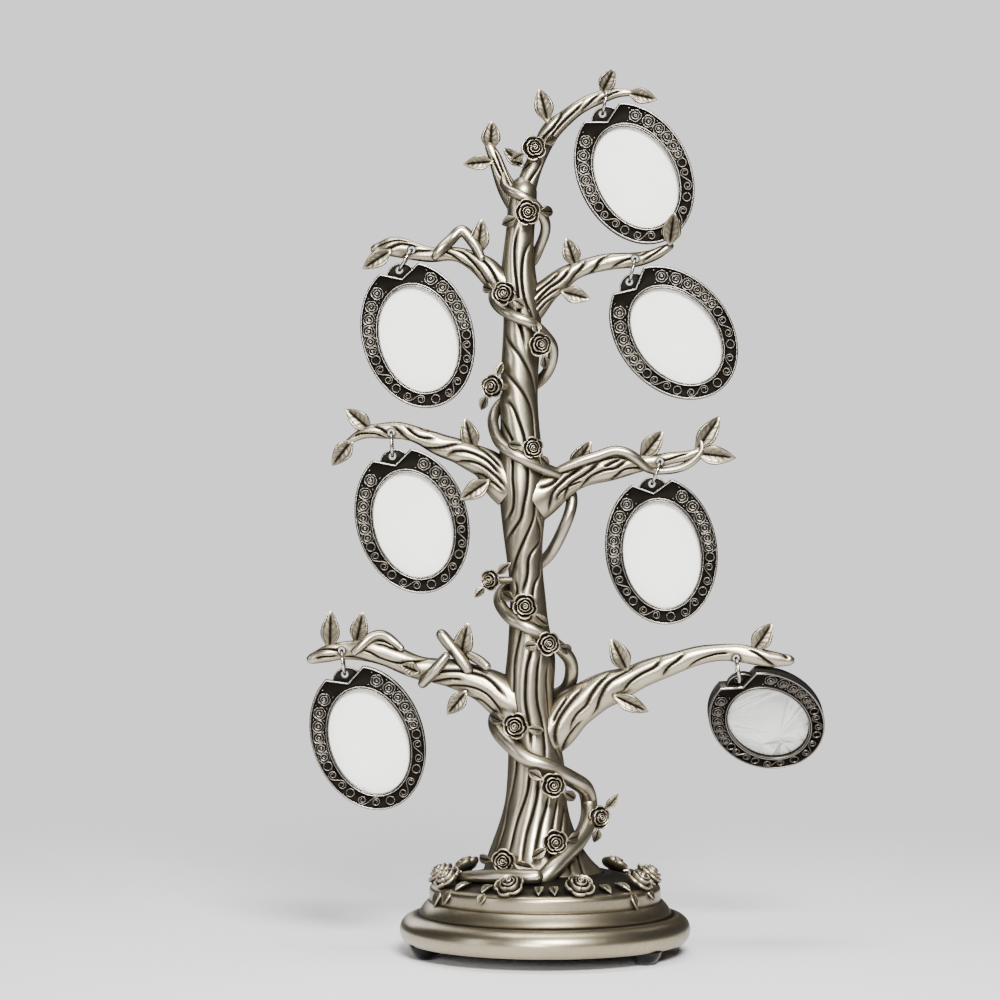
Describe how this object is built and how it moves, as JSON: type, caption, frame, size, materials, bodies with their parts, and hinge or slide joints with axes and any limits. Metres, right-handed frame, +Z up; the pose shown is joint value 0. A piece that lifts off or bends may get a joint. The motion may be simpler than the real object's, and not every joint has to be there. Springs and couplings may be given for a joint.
{
  "type": "photo tree stand",
  "caption": "Cast metal tree on a stepped round base with a rose vine up its trunk; oval picture frames hang from rings on its branches.",
  "frame": {"origin": "on the floor, under the centre of the round base and the middle of its ball feet", "axes": "+Z up the trunk, +X to the viewer's right along the branches, +Y to the back, away from the viewer"},
  "size_m": [0.2157, 0.1194, 0.3637],
  "materials": {
    "bark_pewter": "antiqued silver cast metal, bright ridges and dark grooves",
    "base_pewter": "antiqued silver cast metal, satin",
    "vine_pewter": "smooth antiqued silver cast metal",
    "leaf_pewter": "antiqued silver, veins dark",
    "rose_pewter": "antiqued silver, petal folds dark",
    "frame_pewter": "antiqued silver rims over a dark relief channel",
    "ring_steel": "nickel-plated wire",
    "bolt_steel": "zinc plated",
    "plate_metal": "matt black",
    "foot_rubber": "glossy black",
    "pane_clear": "clear, glossy",
    "card_paper": "matt white",
    "back_velvet": "black velvet over board"
  },
  "bodies": {
    "tree": {"base_shell": "base_pewter", "bottom_plate": "plate_metal", "ball_feet": "foot_rubber", "trunk_bolt": "bolt_steel", "bolt_washer": "bolt_steel", "trunk": "bark_pewter", "branch_top": "bark_pewter", "branch_stub": "bark_pewter", "branch_left_high": "bark_pewter", "branch_right_high": "bark_pewter", "branch_left_mid": "bark_pewter", "branch_right_mid": "bark_pewter", "branch_left_low": "bark_pewter", "branch_right_low": "bark_pewter", "trunk_vine": "vine_pewter", "root_vine": "vine_pewter", "tendril_left_high": "vine_pewter", "tendril_right_mid": "vine_pewter", "tendril_left_low": "vine_pewter", "branch_leaves": "leaf_pewter", "vine_roses": "rose_pewter", "rose_leaves": "leaf_pewter", "base_roses": "rose_pewter", "base_leaves": "leaf_pewter"},
    "ring_1": {"ring_1": "ring_steel"},
    "frame_1": {"frame_1_bezel": "frame_pewter", "frame_1_pane": "pane_clear", "frame_1_card": "card_paper"},
    "back_1": {"frame_1_back": "back_velvet"},
    "ring_2": {"ring_2": "ring_steel"},
    "frame_2": {"frame_2_bezel": "frame_pewter", "frame_2_pane": "pane_clear", "frame_2_card": "card_paper"},
    "back_2": {"frame_2_back": "back_velvet"},
    "ring_3": {"ring_3": "ring_steel"},
    "frame_3": {"frame_3_bezel": "frame_pewter", "frame_3_pane": "pane_clear", "frame_3_card": "card_paper"},
    "back_3": {"frame_3_back": "back_velvet"},
    "ring_4": {"ring_4": "ring_steel"},
    "frame_4": {"frame_4_bezel": "frame_pewter", "frame_4_pane": "pane_clear", "frame_4_card": "card_paper"},
    "back_4": {"frame_4_back": "back_velvet"},
    "ring_5": {"ring_5": "ring_steel"},
    "frame_5": {"frame_5_bezel": "frame_pewter", "frame_5_pane": "pane_clear", "frame_5_card": "card_paper"},
    "back_5": {"frame_5_back": "back_velvet"},
    "ring_6": {"ring_6": "ring_steel"},
    "frame_6": {"frame_6_bezel": "frame_pewter", "frame_6_pane": "pane_clear", "frame_6_card": "card_paper"},
    "back_6": {"frame_6_back": "back_velvet"},
    "ring_7": {"ring_7": "ring_steel"},
    "frame_7": {"frame_7_bezel": "frame_pewter", "frame_7_pane": "pane_clear", "frame_7_card": "card_paper"},
    "back_7": {"frame_7_back": "back_velvet"}
  },
  "joints": [
    {"name": "ring_1_swing", "type": "hinge", "parent": "tree", "child": "ring_1", "pos_m": [0.0255, 0, 0.35454], "axis": [0, 1, 0], "range_deg": [-2, 6]},
    {"name": "frame_1_tilt", "type": "hinge", "parent": "ring_1", "child": "frame_1", "pos_m": [0.02457, 0, 0.34973], "axis": [0.9816, 0, -0.1908], "range_deg": [0, 30]},
    {"name": "back_1_lift", "type": "slide", "parent": "frame_1", "child": "back_1", "axis": [0, 1, 0], "range_m": [0, 0.014]},
    {"name": "ring_2_swing", "type": "hinge", "parent": "tree", "child": "ring_2", "pos_m": [-0.05483, 0, 0.28914], "axis": [0, 1, 0], "range_deg": [-6, 14]},
    {"name": "frame_2_tilt", "type": "hinge", "parent": "ring_2", "child": "frame_2", "pos_m": [-0.05735, 0, 0.28494], "axis": [0.8572, 0, -0.515], "range_deg": [-8, 25]},
    {"name": "back_2_lift", "type": "slide", "parent": "frame_2", "child": "back_2", "axis": [0, 1, 0], "range_m": [0, 0.014]},
    {"name": "ring_3_swing", "type": "hinge", "parent": "tree", "child": "ring_3", "pos_m": [0.03702, 0, 0.28544], "axis": [0, 1, 0], "range_deg": [-8, 20]},
    {"name": "frame_3_tilt", "type": "hinge", "parent": "ring_3", "child": "frame_3", "pos_m": [0.03583, 0, 0.28069], "axis": [0.9703, 0, -0.2419], "range_deg": [-10, 25]},
    {"name": "back_3_lift", "type": "slide", "parent": "frame_3", "child": "back_3", "axis": [0, 1, 0], "range_m": [0, 0.014]},
    {"name": "ring_4_swing", "type": "hinge", "parent": "tree", "child": "ring_4", "pos_m": [-0.06322, 0, 0.21408], "axis": [0, 1, 0], "range_deg": [-3, 18]},
    {"name": "frame_4_tilt", "type": "hinge", "parent": "ring_4", "child": "frame_4", "pos_m": [-0.06296, 0, 0.20919], "axis": [0.9986, 0, 0.0523], "range_deg": [-4, 30]},
    {"name": "back_4_lift", "type": "slide", "parent": "frame_4", "child": "back_4", "axis": [0, 1, 0], "range_m": [0, 0.014]},
    {"name": "ring_5_swing", "type": "hinge", "parent": "tree", "child": "ring_5", "pos_m": [0.0473, 0, 0.20215], "axis": [0, 1, 0], "range_deg": [-12, 14]},
    {"name": "frame_5_tilt", "type": "hinge", "parent": "ring_5", "child": "frame_5", "pos_m": [0.04562, 0, 0.19755], "axis": [0.9397, 0, -0.342], "range_deg": [-25, 25]},
    {"name": "back_5_lift", "type": "slide", "parent": "frame_5", "child": "back_5", "axis": [0, 1, 0], "range_m": [0, 0.014]},
    {"name": "ring_6_swing", "type": "hinge", "parent": "tree", "child": "ring_6", "pos_m": [-0.08362, 0, 0.12442], "axis": [0, 1, 0], "range_deg": [-6, 30]},
    {"name": "frame_6_tilt", "type": "hinge", "parent": "ring_6", "child": "frame_6", "pos_m": [-0.08296, 0, 0.11956], "axis": [0.991, 0, 0.134], "range_deg": [-25, 25]},
    {"name": "back_6_lift", "type": "slide", "parent": "frame_6", "child": "back_6", "axis": [0, 1, 0], "range_m": [0, 0.014]},
    {"name": "ring_7_swing", "type": "hinge", "parent": "tree", "child": "ring_7", "pos_m": [0.07856, 0, 0.12133], "axis": [0, 1, 0], "range_deg": [-3, 40]},
    {"name": "frame_7_tilt", "type": "hinge", "parent": "ring_7", "child": "frame_7", "pos_m": [0.07916, 0, 0.11647], "axis": [0.9925, 0, 0.1219], "range_deg": [-42, 8]},
    {"name": "back_7_lift", "type": "slide", "parent": "frame_7", "child": "back_7", "axis": [-0.0816, 0.7431, 0.6641], "range_m": [0, 0.014]}
  ]
}
